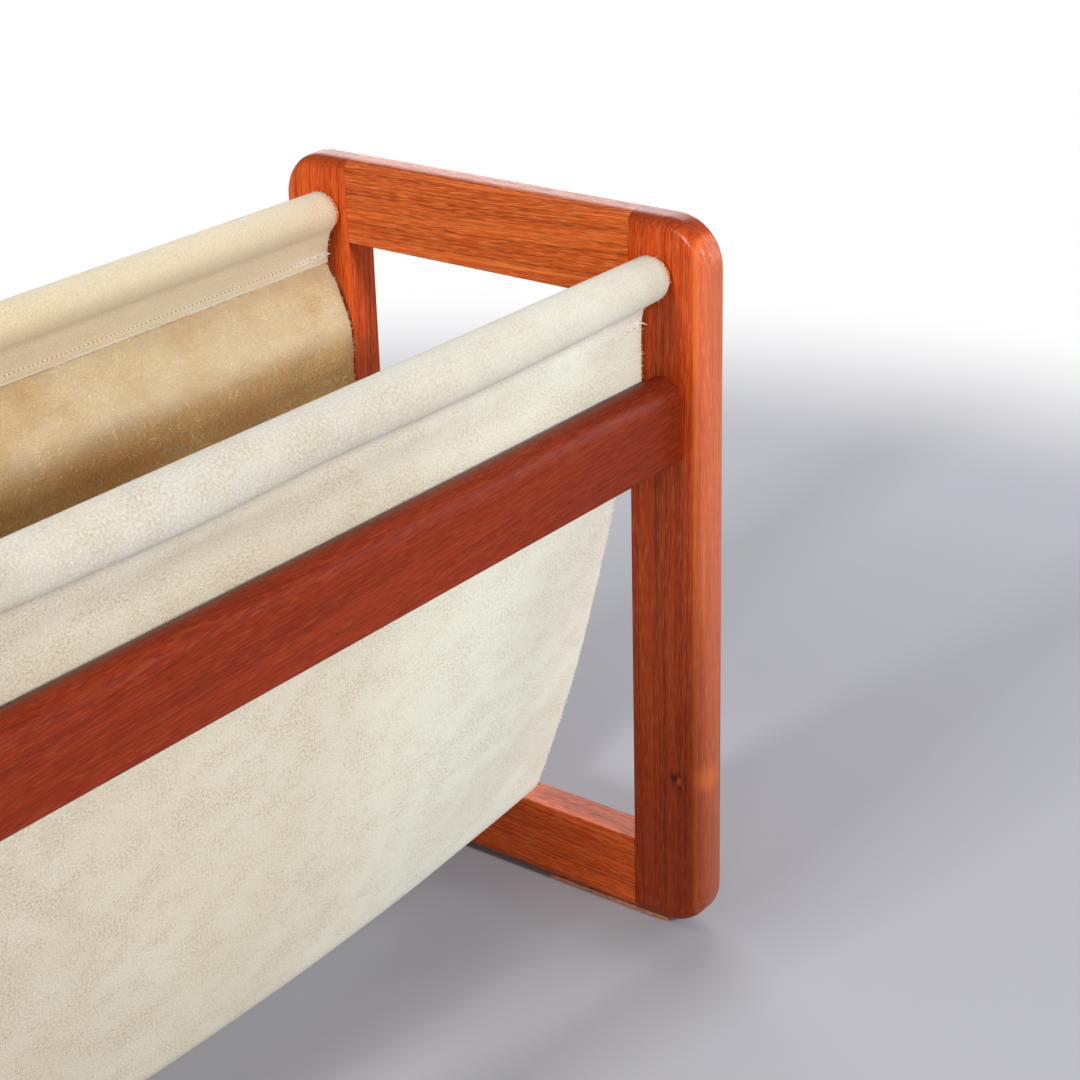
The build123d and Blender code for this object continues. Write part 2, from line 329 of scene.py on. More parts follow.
class TeakFigure(SharedGroup):
    """Teak's figure on a board whose grain runs along X: bands, ring edges, lines, flecks and pores."""

    name = "teak_figure"
    inputs = {
        "Vector": "NodeSocketVector",
        "Pale": "NodeSocketColor",
        "Deep": "NodeSocketColor",
        "Pore": "NodeSocketColor",
        "Fleck": "NodeSocketColor",
        "Streaks": "NodeSocketFloat",
        "Flecks": "NodeSocketFloat",
        "Satin": "NodeSocketFloat",
    }
    outputs = {"Color": "NodeSocketColor", "Roughness": "NodeSocketFloat", "Height": "NodeSocketFloat"}
    sway_waves = (3.0, 16.0, 16.0)
    sway_reach = (0.0, 0.010, 0.010)
    ring_slant = (math.radians(40), 0.0, 0.0)
    second_cut = (0.31, 0.17, 0.53)
    cloud = NoiseMask((4.0, 13.0, 13.0), 1.0, 0.30, 0.70, top=0.26)
    bands = NoiseMask((1.6, 170.0, 45.0), 2.0, 0.32, 0.68, top=0.34)
    lines = NoiseMask((5.0, 1700.0, 420.0), 2.0, 0.32, 0.68)
    streaks = NoiseMask((9.0, 1000.0, 260.0), 1.0, 0.66, 0.76, top=0.7)
    pores = NoiseMask((120.0, 2300.0, 2300.0), 0.0, 0.58, 0.72)
    veins = NoiseMask((6.0, 900.0, 260.0), 1.0, 0.62, 0.76)
    flecks = NoiseMask((115.0, 2100.0, 2100.0), 0.0, 0.58, 0.68)
    ring_waves = (0.9, 150.0, 40.0)
    ring_edge = (0.040, 0.008, 0.75)
    line_share = 0.40
    pore_share = 0.4
    pore_roughness = 0.16
    line_gloss = 0.06
    line_height = 0.25

    @classmethod
    def wire(cls, graph: Graph, entry: Node) -> dict[str, Socket]:
        """Wire the bands, lines, streaks and pores.

        Args:
            graph: The group's tree.
            entry: The group's input node.

        Returns:
            The board's colour, roughness and height.
        """
        board = graph.sway(entry.outputs["Vector"], cls.sway_waves, 1.0, cls.sway_reach)
        rings = graph.add("ShaderNodeMapping", {"Vector": board, "Rotation": cls.ring_slant}).outputs[0]
        second = graph.vector("ADD", rings, cls.second_cut)
        lines = cls.lines.over(graph, rings)
        pores = cls.pores.over(graph, board)

        tone = graph.sum_up("ADD", cls.cloud.over(graph, board), cls.bands.over(graph, rings))
        tone = graph.sum_up("ADD", tone, graph.sum_up("MULTIPLY", lines, cls.line_share))
        ring_edges = graph.noise(second, cls.ring_waves, 0.0).outputs[0]
        ring_edges = graph.sum_up("ABSOLUTE", graph.sum_up("SUBTRACT", ring_edges, NOISE_MIDDLE))
        ring_edges = graph.step(ring_edges, *cls.ring_edge)
        dark_lines = graph.sum_up("MAXIMUM", cls.streaks.over(graph, rings), ring_edges)
        dark_lines = graph.sum_up("MULTIPLY", dark_lines, entry.outputs["Streaks"])
        light_dashes = graph.sum_up("MAXIMUM", cls.flecks.over(graph, second), cls.veins.over(graph, second))
        light_dashes = graph.sum_up("MULTIPLY", light_dashes, entry.outputs["Flecks"])

        colour = graph.blend(tone, entry.outputs["Deep"], entry.outputs["Pale"])
        colour = graph.blend(dark_lines, colour, entry.outputs["Pore"])
        colour = graph.blend(graph.sum_up("MULTIPLY", pores, cls.pore_share), colour, entry.outputs["Pore"])
        colour = graph.blend(light_dashes, colour, entry.outputs["Fleck"])
        duller = graph.sum_up("MULTIPLY", pores, cls.pore_roughness)
        satin = graph.sum_up("ADD", entry.outputs["Satin"], duller)
        satin = graph.sum_up("SUBTRACT", satin, graph.sum_up("MULTIPLY", lines, cls.line_gloss))
        height = graph.sum_up("SUBTRACT", graph.sum_up("MULTIPLY", lines, cls.line_height), pores)
        return {"Color": colour, "Roughness": satin, "Height": height}


class SuedeNap(SharedGroup):
    """Suede's nap on a sheet laid flat, in metres: clouds, clustered flecks and the lie of the fibres."""

    name = "suede_nap"
    inputs = {"Vector": "NodeSocketVector", "Clump": "NodeSocketFloat", "Matting": "NodeSocketFloat"}
    outputs = {
        "Clouds": "NodeSocketFloat",
        "Flecks": "NodeSocketFloat",
        "Grain": "NodeSocketFloat",
        "Fibres": "NodeSocketFloat",
        "Height": "NodeSocketFloat",
    }
    clouds = NoiseMask((13.0, 18.0, 1.0), 5.0, 0.36, 0.66, harshness=0.6)
    clusters = NoiseMask((46.0, 60.0, 1.0), 5.0, 0.38, 0.64, harshness=0.65)
    specks = NoiseMask((760.0, 760.0, 1.0), 3.0, 0.40, 0.66, harshness=0.8)
    least_specks = 0.4
    grain = NoiseMask((900.0, 900.0, 1.0), 3.0, 0.38, 0.64, harshness=0.8)
    grain_shift = (0.37, 0.71, 0.0)
    swirl_waves = (85.0, 85.0, 1.0)
    swirl_reach = (0.016, 0.016, 0.0)
    across_waves = (1500.0, 360.0, 1.0)
    along_waves = (380.0, 1400.0, 1.0)
    fibre_borders = (0.52, 0.72)

    @classmethod
    def wire(cls, graph: Graph, entry: Node) -> dict[str, Socket]:
        """Wire the clouds, flecks and fibres.

        Args:
            graph: The group's tree.
            entry: The group's input node.

        Returns:
            The masks and the height of the nap.
        """
        flat = entry.outputs["Vector"]
        clouds = cls.clouds.over(graph, flat)
        thinned = graph.sum_up("MULTIPLY", cls.clusters.over(graph, flat), entry.outputs["Clump"])
        thinned = graph.sum_up("ADD", thinned, cls.least_specks)
        flecks = graph.sum_up("MULTIPLY", cls.specks.over(graph, flat), thinned)
        grain = cls.grain.over(graph, graph.vector("ADD", flat, cls.grain_shift))

        lie = graph.sway(flat, cls.swirl_waves, 1.0, cls.swirl_reach)
        across = graph.noise(lie, cls.across_waves, 1.0).outputs[0]
        along = graph.noise(lie, cls.along_waves, 1.0).outputs[0]
        fibres = graph.step(graph.sum_up("MAXIMUM", across, along), *cls.fibre_borders)
        height = graph.sum_up("ADD", graph.sum_up("MULTIPLY", fibres, entry.outputs["Matting"]), grain)
        return {"Clouds": clouds, "Flecks": flecks, "Grain": grain, "Fibres": fibres, "Height": height}


def new_material(name: str) -> tuple[Material, Graph, Node]:
    """A bare node material.

    Args:
        name: The material's name.

    Returns:
        The material, its graph and its Principled shader.
    """
    material = bpy.data.materials.new(name)
    material.use_nodes = True
    graph = Graph(material.node_tree)
    return material, graph, material.node_tree.nodes["Principled BSDF"]


@dataclass(frozen=True)
class Stain:
    """A change of tone over a part of a piece: where it begins, is full and is gone again along one axis."""

    tint: Colour
    axis: str
    begins: float
    full: float
    waver: float = 0.0
    strength: float = 1.0
    over_nap: bool = False
    gone: float | None = None

    def lay(self, graph: Graph, place: Socket, uneven: Socket, colour: Socket) -> Socket:
        """Lay the stain over a colour.

        Args:
            graph: The material's graph.
            place: The place on the piece, in metres.
            uneven: A mask that makes the border uneven.
            colour: The colour to stain.

        Returns:
            The stained colour.
        """
        reach = graph.add("ShaderNodeSeparateXYZ", {0: place}).outputs[self.axis]
        reach = graph.sum_up("ADD", reach, graph.sum_up("MULTIPLY", uneven, self.waver))
        share = graph.step(reach, self.begins, self.full, self.strength)
        if self.gone is not None:
            share = graph.sum_up("MULTIPLY", share, graph.step(reach, self.gone, self.full))
        return graph.blend(share, colour, self.tint)


@dataclass(frozen=True)
class Blot:
    """A round mark of a knot: its shift from the knot's middle, its radius, its tint and its strength."""

    shift: Triple
    radius: float
    tint: Colour
    strength: float


@dataclass(frozen=True)
class PinKnot:
    """A pin knot in a board: a pale heart between two dark spots, and a glow on the edge beside it."""

    place: Triple
    glow: Blot = Blot((0.0050, -0.0158, 0.0030), 0.0110, paint(232, 122, 46), 0.32)
    halo: Blot = Blot((0.0, -0.0026, -0.0016), 0.0080, paint(66, 20, 8), 0.3)
    spot: Blot = Blot((0.0, -0.0030, -0.0052), 0.0024, paint(66, 20, 8), 0.6)
    mark: Blot = Blot((0.0, 0.0, 0.0), 0.0036, paint(66, 20, 8), 0.9)
    heart: Blot = Blot((0.0, -0.0026, -0.0016), 0.0026, paint(196, 84, 30), 0.6)
    core: float = 0.2
    waver_waves: Triple = (420.0, 420.0, 260.0)
    waver_reach: Triple = (0.0, 0.004, 0.005)

    def stain(self, graph: Graph, place: Socket, colour: Socket) -> Socket:
        """Lay the knot over a board's colour.

        Args:
            graph: The material's graph.
            place: The place that the board is read at.
            colour: The board's own colour.

        Returns:
            The colour with the knot.
        """
        place = graph.sway(place, self.waver_waves, 2.0, self.waver_reach)
        for blot in (self.glow, self.halo, self.spot, self.mark, self.heart):
            away = graph.distance(place, Vector(self.place) + Vector(blot.shift))
            mask = graph.step(away, blot.radius, blot.radius * self.core, blot.strength)
            colour = graph.blend(mask, colour, blot.tint)
        return colour


@dataclass(frozen=True)
class TeakFinish:
    """Oiled teak in one tone."""

    name: str
    pale: Colour
    deep: Colour
    pore: Colour
    fleck: Colour
    streaks: float = 0.5
    flecks: float = 0.4
    satin: float = 0.38
    shine: float = 0.08
    coat: float = 0.12
    coat_roughness: float = 0.16
    relief: float = 0.00006
    relief_strength: float = 0.6

    def material(
        self,
        piece: str,
        grain: Grain,
        tilt: float,
        shift: Triple,
        stains: tuple[Stain, ...] = (),
        knot: PinKnot | None = None,
    ) -> Material:
        """The finish on one board, cut from its own place in the tree.

        Args:
            piece: The board's name.
            grain: Which way its grain runs.
            tilt: How far the grain is off the board's length, in radians.
            shift: Where in the tree the board was cut, in metres.
            stains: Where the board's tone changes: aged tones, painted shade, painted sheen and painted
                highlights.
            knot: A pin knot on the board, if it has one.

        Returns:
            The board's material.
        """
        material, graph, shader = new_material(f"{self.name}.{piece}")
        place = graph.add("ShaderNodeTexCoord").outputs["Object"]
        turned = {"Vector": place, "Location": shift, "Rotation": grain.turn(tilt)}
        board = graph.add("ShaderNodeMapping", turned).outputs[0]
        figure = graph.place_group(
            TeakFigure.get(),
            {
                "Vector": board,
                "Pale": self.pale,
                "Deep": self.deep,
                "Pore": self.pore,
                "Fleck": self.fleck,
                "Streaks": self.streaks,
                "Flecks": self.flecks,
                "Satin": self.satin,
            },
        )
        colour = figure.outputs["Color"]
        for stain in stains:
            colour = stain.lay(graph, place, figure.outputs["Height"], colour)
        if knot:
            colour = knot.stain(graph, place, colour)
        graph.surface(shader, colour, figure.outputs["Height"], self.relief, self.relief_strength)
        graph.tree.links.new(figure.outputs["Roughness"], shader.inputs["Roughness"])
        gloss = {
            "Specular IOR Level": self.shine,
            "Coat Weight": self.coat,
            "Coat Roughness": self.coat_roughness,
        }
        set_plain(shader, gloss)
        return material


@dataclass(frozen=True)
class SeamHoles:
    """The needle holes of the two seams, on the flat sheet, drawn as painted shade."""

    lines: Pair
    pitch: float
    offset: float
    radius: float = 0.0006
    core: float = 0.4
    # Painted shade in the needle holes.
    dark: Colour = paint(166, 130, 88)

    def punch(self, graph: Graph, flat: Socket, colour: Socket) -> Socket:
        """Darken the sheet at the holes, as painted shade in them.

        Args:
            graph: The material's graph.
            flat: The place on the flat sheet, in metres.
            colour: The sheet's colour.

        Returns:
            The colour with the holes.
        """
        place = graph.add("ShaderNodeSeparateXYZ", {0: flat}).outputs
        across = graph.sum_up("PINGPONG", graph.sum_up("ADD", place["X"], self.offset), self.pitch / 2)
        for line in self.lines:
            along = graph.sum_up("SUBTRACT", place["Y"], line)
            away = graph.add("ShaderNodeCombineXYZ", {"X": across, "Y": along}).outputs[0]
            mask = graph.step(graph.distance(away), self.radius, self.radius * self.core)
            colour = graph.blend(mask, colour, self.dark)
        return colour


@dataclass(frozen=True)
class SuedeFinish:
    """One face of the suede."""

    name: str
    ground: Colour
    cloud: Colour
    fleck: Colour
    fibre: Colour
    clouds: float
    flecks: float
    grain: float
    fibres: float
    clump: float
    relief: float
    matting: float = 0.2
    sheen: float = 0.25
    sheen_roughness: float = 0.5
    roughness: float = 0.92
    shine: float = 0.2
    relief_strength: float = 0.8

    def material(self, stains: tuple[Stain, ...] = (), holes: SeamHoles | None = None) -> Material:
        """The face's material, read from the sheet's own flat map.

        Args:
            stains: The changes of tone over parts of the sheet.
            holes: The needle holes that show on this face.

        Returns:
            The material.
        """
        material, graph, shader = new_material(self.name)
        flat = graph.add("ShaderNodeUVMap", uv_map=Sling.flat_map).outputs[0]
        inputs = {"Vector": flat, "Clump": self.clump, "Matting": self.matting}
        masks = graph.place_group(SuedeNap.get(), inputs).outputs
        colour = graph.add("ShaderNodeRGB").outputs[0]
        colour.default_value = self.ground
        for stain in (stain for stain in stains if not stain.over_nap):
            colour = stain.lay(graph, flat, masks["Clouds"], colour)
        nap = (
            ("Grain", self.grain, self.fibre),
            ("Flecks", self.flecks, self.fleck),
            ("Fibres", self.fibres, self.fibre),
        )
        for mask, share, tint in nap:
            colour = graph.blend(graph.sum_up("MULTIPLY", masks[mask], share), colour, tint)
        for stain in (stain for stain in stains if stain.over_nap):
            colour = stain.lay(graph, flat, masks["Clouds"], colour)
        colour = graph.blend(graph.sum_up("MULTIPLY", masks["Clouds"], self.clouds), colour, self.cloud)
        if holes:
            colour = holes.punch(graph, flat, colour)
        graph.surface(shader, colour, masks["Height"], self.relief, self.relief_strength)
        matt = {
            "Roughness": self.roughness,
            "Specular IOR Level": self.shine,
            "Sheen Weight": self.sheen,
            "Sheen Roughness": self.sheen_roughness,
        }
        set_plain(shader, matt)
        return material


@dataclass(frozen=True)
class SpeckledFinish:
    """A matt finish whose tone wavers from place to place: thread, loose fibre, leather or dowel."""

    name: str
    first: Colour
    second: Colour
    waves: Triple
    relief: float
    relief_strength: float = 0.6
    roughness: float = 0.85
    borders: Pair = (0.35, 0.65)
    layers: float = 2.0

    def material(self) -> Material:
        """The finish's material.

        Returns:
            The material.
        """
        material, graph, shader = new_material(self.name)
        place = graph.add("ShaderNodeTexCoord").outputs["Object"]
        waver = graph.noise(place, self.waves, self.layers).outputs[0]
        colour = graph.blend(graph.step(waver, *self.borders), self.first, self.second)
        graph.surface(shader, colour, waver, self.relief, self.relief_strength)
        set_plain(shader, {"Roughness": self.roughness})
        return material

    def shared(self) -> Material:
        """The finish's material, made at its first use."""
        return bpy.data.materials.get(self.name) or self.material()


TOP_RAIL_TEAK = TeakFinish(
    name="top_rail_teak",
    pale=paint(208, 98, 40),
    deep=paint(142, 54, 18),
    pore=paint(84, 28, 10),
    fleck=paint(232, 142, 80),
    streaks=0.5,
    flecks=0.35,
)
BOTTOM_RAIL_TEAK = replace(
    TOP_RAIL_TEAK,
    name="bottom_rail_teak",
    pale=paint(236, 98, 34),
    deep=paint(168, 58, 16),
)
POST_TEAK = TeakFinish(
    name="post_teak",
    pale=paint(204, 79, 25),
    deep=paint(160, 50, 12),
    pore=paint(92, 28, 9),
    fleck=paint(228, 124, 62),
    streaks=0.55,
    flecks=0.32,
    coat=0.16,
    coat_roughness=0.22,
)
# Painted light: the back posts wear a paler copy of the post teak, to lift the shade that falls on them.
BACK_POST_PAINTED_LIGHT_TEAK = replace(
    POST_TEAK,
    name="back_post_painted_light_teak",
    pale=paint(218, 90, 30),
    deep=paint(174, 60, 17),
)
SIDE_RAIL_TEAK = TeakFinish(
    name="side_rail_teak",
    pale=paint(146, 49, 20),
    deep=paint(116, 34, 13),
    pore=paint(80, 22, 9),
    fleck=paint(186, 92, 50),
    streaks=0.2,
    flecks=0.2,
    satin=0.52,
    shine=0.035,
    coat=0.22,
    coat_roughness=0.40,
)
ROD_TEAK = TeakFinish(
    name="rod_teak",
    pale=paint(236, 150, 92),
    deep=paint(204, 112, 62),
    pore=paint(130, 62, 34),
    fleck=paint(242, 176, 122),
    satin=0.5,
    coat=0.0,
)
SUEDE_OUTSIDE = SuedeFinish(
    name="suede_outside",
    ground=paint(228, 220, 198),
    cloud=paint(212, 198, 164),
    fleck=paint(176, 146, 96),
    fibre=paint(242, 240, 228),
    clouds=0.25,
    flecks=0.62,
    grain=0.45,
    fibres=0.0,
    clump=0.7,
    relief=0.0002,
    matting=0.0,
)
SUEDE_POCKET = SuedeFinish(
    name="suede_pocket",
    ground=paint(252, 192, 98),
    cloud=paint(226, 162, 72),
    fleck=paint(116, 74, 30),
    fibre=paint(255, 240, 190),
    clouds=0.65,
    flecks=0.42,
    grain=0.2,
    fibres=0.9,
    clump=0.8,
    relief=0.0010,
    matting=1.0,
)
SUEDE_CUT = SuedeFinish(
    name="suede_cut_edge",
    ground=paint(240, 233, 218),
    cloud=paint(220, 204, 176),
    fleck=paint(184, 156, 114),
    fibre=paint(240, 236, 226),
    clouds=0.5,
    flecks=0.5,
    grain=0.4,
    fibres=0.5,
    clump=0.5,
    relief=0.0003,
)
# Painted light: the outside of the sling is paler towards its right cut end, to lift the shade there.
END_PAINTED_LIGHT = paint(251, 255, 240)
RAW_EDGE = paint(250, 246, 238)
HEM_GREY = paint(199, 196, 187)
HEM_TAN = paint(222, 204, 166)
# Painted light on the upper pocket walls; below it the pocket keeps its darker ground as painted shade.
POCKET_PAINTED_LIGHT = paint(255, 233, 187)
# Darker tone for the posts' end grain, and painted shade towards their feet.
DARK_END_GRAIN_AND_SHADE = paint(84, 24, 10)
# Painted sheen on the posts' outer faces and the rounded edges beside them.
PAINTED_SHEEN = paint(238, 160, 124)
# Painted highlight along the posts' rounded edges.
PAINTED_HIGHLIGHT = paint(240, 136, 78)
DARK_RAIL_END = paint(72, 26, 18)
LOOSE_FIBRE = SpeckledFinish(
    name="loose_fibre",
    first=paint(240, 233, 216),
    second=paint(222, 202, 166),
    waves=(90.0, 90.0, 90.0),
    relief=0.00002,
)
NAP_FIBRE = SpeckledFinish(
    name="nap_fibre",
    first=paint(252, 228, 184),
    second=paint(222, 178, 116),
    waves=(120.0, 120.0, 120.0),
    relief=0.00002,
)
THREAD = SpeckledFinish(
    name="white_thread",
    first=paint(250, 250, 250),
    second=paint(218, 212, 206),
    waves=(2600.0, 900.0, 900.0),
    relief=0.00008,
)
GLIDE_LEATHER = SpeckledFinish(
    name="glide_strip_leather",
    first=paint(214, 150, 116),
    second=paint(180, 114, 84),
    waves=(500.0, 260.0, 900.0),
    relief=0.0002,
)
DOWEL_BEECH = SpeckledFinish(
    name="plain_beech",
    first=paint(206, 176, 132),
    second=paint(184, 150, 106),
    waves=(60.0, 60.0, 60.0),
    relief=0.00002,
)


def dress_node(node: str, material: Material) -> None:
    """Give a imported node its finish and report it."""
    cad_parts[node].material_slots[0].material = material
    LOG.info("%s wears %s", node, material.name)


def new_piece(name: str, mesh: Mesh, materials: list[Material]) -> Piece:
    """Make a bmesh a piece of the rack.

    Args:
        name: The piece's name.
        mesh: Its shape, in the rack's own frame. It is freed.
        materials: Its finishes, in the order of its faces' numbers.

    Returns:
        The piece, which moves with the rack.
    """
    data = bpy.data.meshes.new(name)
    mesh.to_mesh(data)
    mesh.free()
    for material in materials:
        data.materials.append(material)
    data.polygons.foreach_set("use_smooth", [True] * len(data.polygons))
    piece = bpy.data.objects.new(name, data)
    bpy.context.scene.collection.objects.link(piece)
    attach(piece, RACK)
    LOG.info("built %s with %d faces", name, len(data.polygons))
    return piece


@dataclass
class EndFrame:
    """One end frame: two posts and two rails of teak, on two leather glides."""

    end: End
    post_shift: float = 0.43
    post_depth: float = 0.23
    rail_shift: float = 0.61
    rail_depth: float = 0.41
    post_tilt: float = math.radians(0.8)
    rail_tilt: float = math.radians(2.5)
    knot: PinKnot = PinKnot(place=(0.212, -0.1074, 0.0850))
    # Painted sheen: the band across Y that it covers, and how strongly.
    painted_sheen_faces: Pair = (0.1240, 0.1175)
    painted_sheen_share: float = 0.26
    # Painted highlight line: where it begins, is full and is gone across Y, and how strongly.
    highlight_line: Triple = (0.1165, 0.1190, 0.1215)
    highlight_share: float = 0.35
    # Painted shade: the posts darken from this height down towards the floor.
    foot_painted_shade: Pair = (0.28, 0.02)
    foot_painted_shade_share: float = 0.5
    end_grain: Pair = (0.354, 0.361)
    end_grain_fade: float = 0.5

    def dress(self) -> None:
        """Give each board its own cut of teak, and the glides their leather."""
        for side in Side:
            shift = (
                self.post_shift * self.end.value,
                self.post_shift * side.value,
                self.post_depth * side.value,
            )
            post = f"post_{side.word}_{self.end.word}"
            knot = self.knot if (side, self.end) == (Side.FRONT, End.RIGHT) else None
            tilt = self.post_tilt * side.value
            # The back posts take the paler copy of the teak, as painted light.
            teak = POST_TEAK if side is Side.FRONT else BACK_POST_PAINTED_LIGHT_TEAK
            dress_node(post, teak.material(post, Grain.ALONG_Z, tilt, shift, self.post_stains(side), knot))
            dress_node(f"glide_{side.word}_{self.end.word}", GLIDE_LEATHER.shared())
        for level, sign, teak in (("top", 1, TOP_RAIL_TEAK), ("bottom", -1, BOTTOM_RAIL_TEAK)):
            shift = (self.rail_shift * sign, self.rail_shift * self.end.value, self.rail_depth * sign)
            rail = f"{level}_rail_{self.end.word}"
            dress_node(rail, teak.material(rail, Grain.ALONG_Y, self.rail_tilt * sign, shift))
            dress_node(f"{level}_rail_dowels_{self.end.word}", DOWEL_BEECH.shared())

    def post_stains(self, side: Side) -> tuple[Stain, ...]:
        """How a post's tone changes: darker on its end grain; painted shade towards its foot; a painted sheen
        on its outer face and a painted highlight line along its rounded edges.

        Args:
            side: The post's side.

        Returns:
            The stains.
        """
        outer, inner = (side.value * reach for reach in self.painted_sheen_faces)
        begins, full, gone = (side.value * reach for reach in self.highlight_line)
        return (
            # Painted sheen on the outer face.
            Stain(PAINTED_SHEEN, "Y", inner, outer, strength=self.painted_sheen_share),
            # Painted highlight along the rounded edge.
            Stain(PAINTED_HIGHLIGHT, "Y", begins, full, strength=self.highlight_share, gone=gone),
            # Painted shade towards the foot.
            Stain(DARK_END_GRAIN_AND_SHADE, "Z", *self.foot_painted_shade, strength=self.foot_painted_shade_share),
            Stain(DARK_END_GRAIN_AND_SHADE, "Z", *self.end_grain, strength=self.end_grain_fade),
        )


@dataclass
class LongPieces:
    """The side rail, its dowels and the rod of one long side."""

    side: Side
    shift: float = 0.83
    depth: float = 0.29
    tilt: float = math.radians(4.0)
    dark_end: Pair = (0.06, 0.22)
    dark_share: float = 0.25

    def dress(self) -> None:
        """Give the side's rail, dowels and rod their finishes."""
        cut = (self.shift * self.side.value, self.depth, self.shift)
        rail = f"side_rail_{self.side.word}"
        darker = Stain(DARK_RAIL_END, "X", *self.dark_end, strength=self.dark_share)
        dress_node(rail, SIDE_RAIL_TEAK.material(rail, Grain.ALONG_X, self.tilt, cut, (darker,)))
        dress_node(f"side_rail_dowels_{self.side.word}", DOWEL_BEECH.shared())
        rod = f"rod_{self.side.word}"
        dress_node(rod, ROD_TEAK.material(rod, Grain.ALONG_X, 0.0, cut))


@dataclass(frozen=True)
class Crease:
    """A soft crease along the sling: how far the sheet stands out from its neat line at one height."""

    row_spread = 50.0
    row_depth = 0.5
    end_ease = 4

    side: Side
    height: float
    spread: float
    outward: float
    unevenness: float = 0.3
    drift: float = 0.003
    waves: float = 9.0
    at_ends: float = 1.0
    outer_layer_only: bool = False

    def lift(self, x: float, z: float, share: float) -> float:
        """How far the crease moves the sheet outward.

        Args:
            x: The place along the rack, in metres.
            z: The height of the neat sheet, in metres.
            share: How far the place is from the middle to a cut end.

        Returns:
            The distance, in metres.
        """
        row = noise.noise(Vector((x * self.waves, self.height * self.row_spread, self.row_depth)))
        strength = (1 + self.unevenness * row) * (1 + (self.at_ends - 1) * share**self.end_ease)
        away = (z - self.height - self.drift * row) / self.spread
        return self.outward * strength * math.exp(-away * away / 2)


@dataclass(frozen=True)
class Bend:
    """An arc of the sheet's middle line: its centre, its radius, its angles in radians and its parts."""

    centre: Vector
    radius: float
    start: float
    sweep: float
    parts: int

    def point(self, share: float) -> Vector:
        """The point at a share of the bend, as Y and Z."""
        angle = self.start + share * self.sweep
        return self.centre + self.radius * Vector((math.cos(angle), math.sin(angle)))


def heading(from_point: Vector, to_point: Vector) -> float:
    """The angle of the line between two points of a section."""
    return math.atan2(to_point.y - from_point.y, to_point.x - from_point.x)


